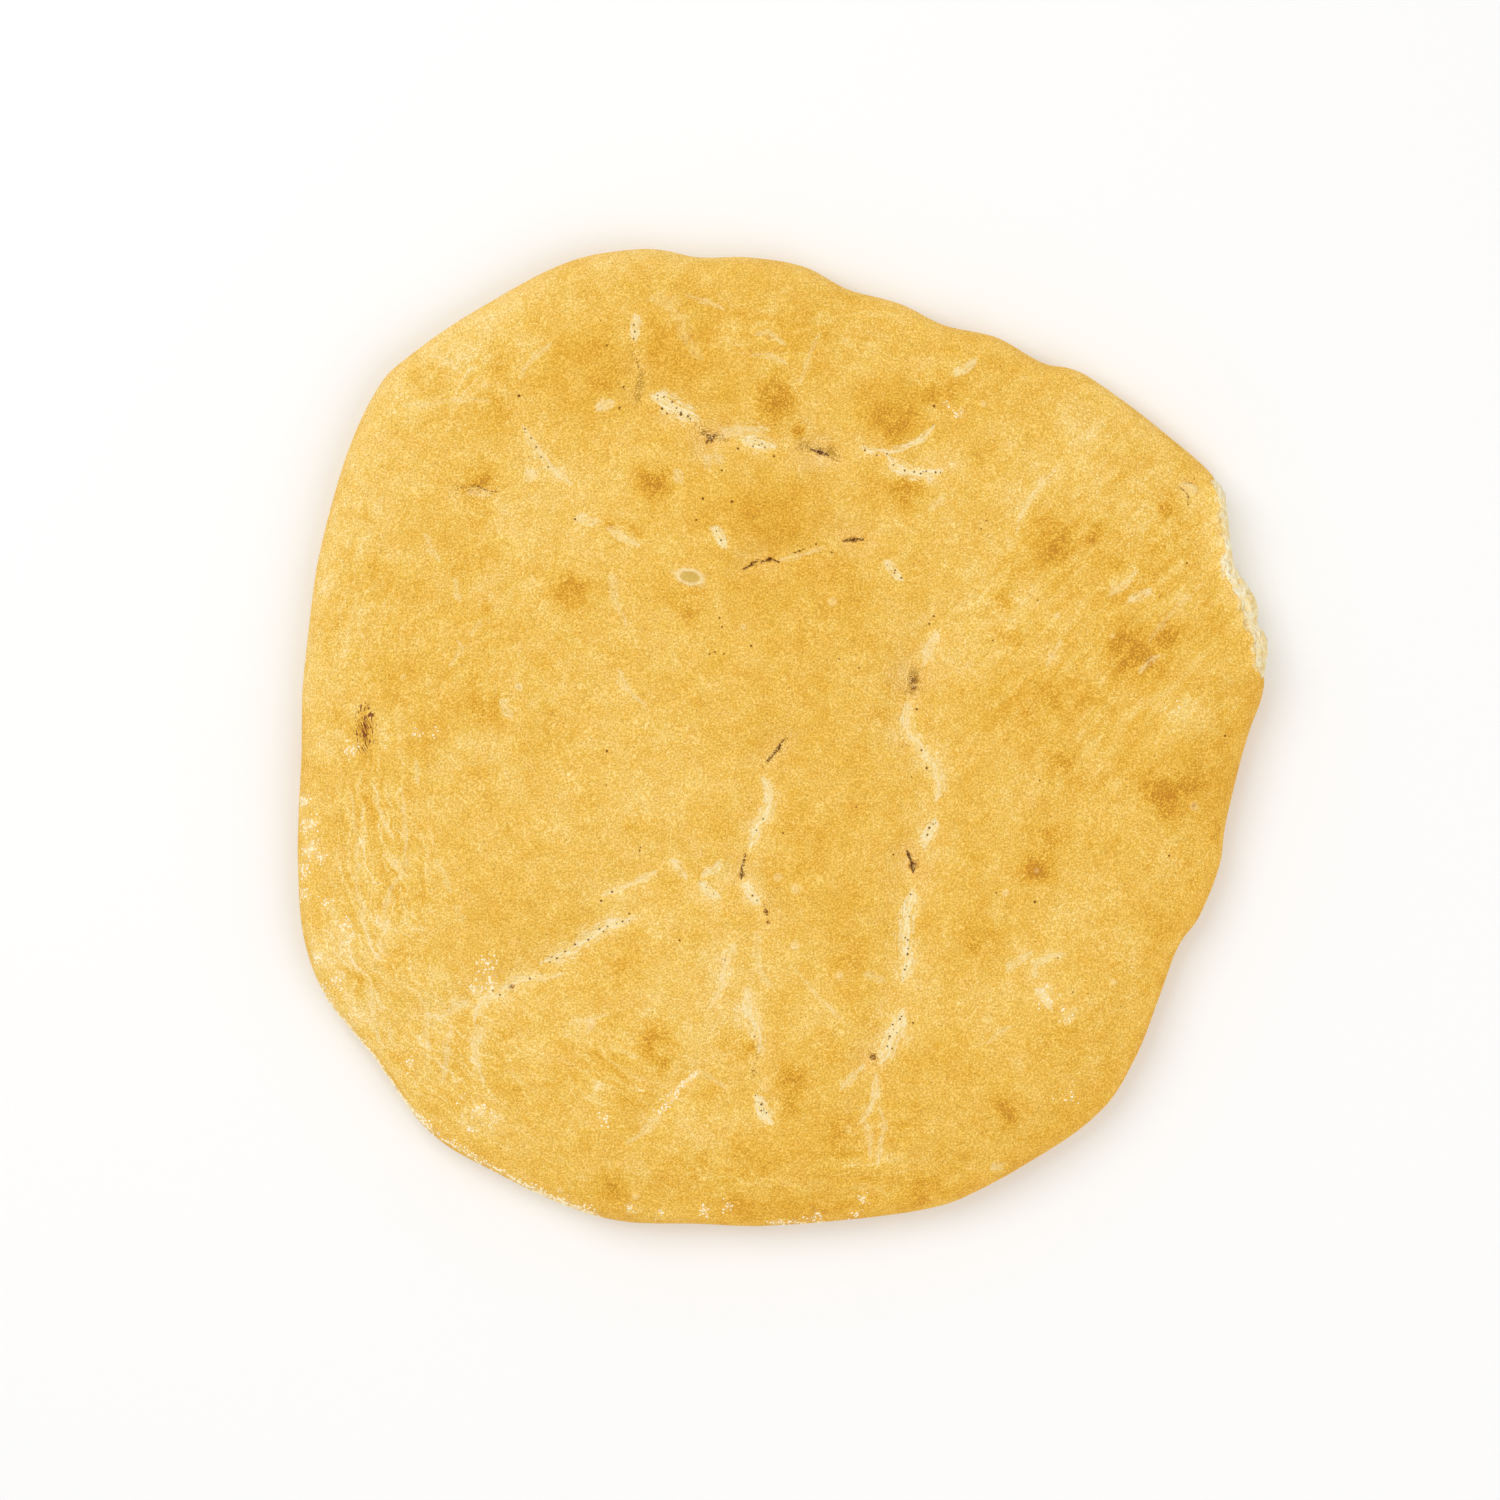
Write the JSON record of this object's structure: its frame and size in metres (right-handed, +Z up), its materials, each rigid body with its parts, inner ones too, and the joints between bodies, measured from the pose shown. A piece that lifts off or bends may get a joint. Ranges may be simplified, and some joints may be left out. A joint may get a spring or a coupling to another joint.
{
  "type": "pizza bread",
  "caption": "Round flat pizza bread with low puffed domes, pale stretch creases, a rounded rim and a strip torn off one edge.",
  "frame": {"origin": "middle of the loaf's outline, at the height of its flat base", "axes": "+Z up, out of the domed crust; +X towards the torn edge; +Y towards the back of the loaf as it lies in the picture"},
  "size_m": [0.293, 0.2953, 0.0245],
  "materials": {
    "baked_crust": null
  },
  "bodies": {
    "root": {"pizza_bread": "baked_crust"}
  },
  "joints": []
}
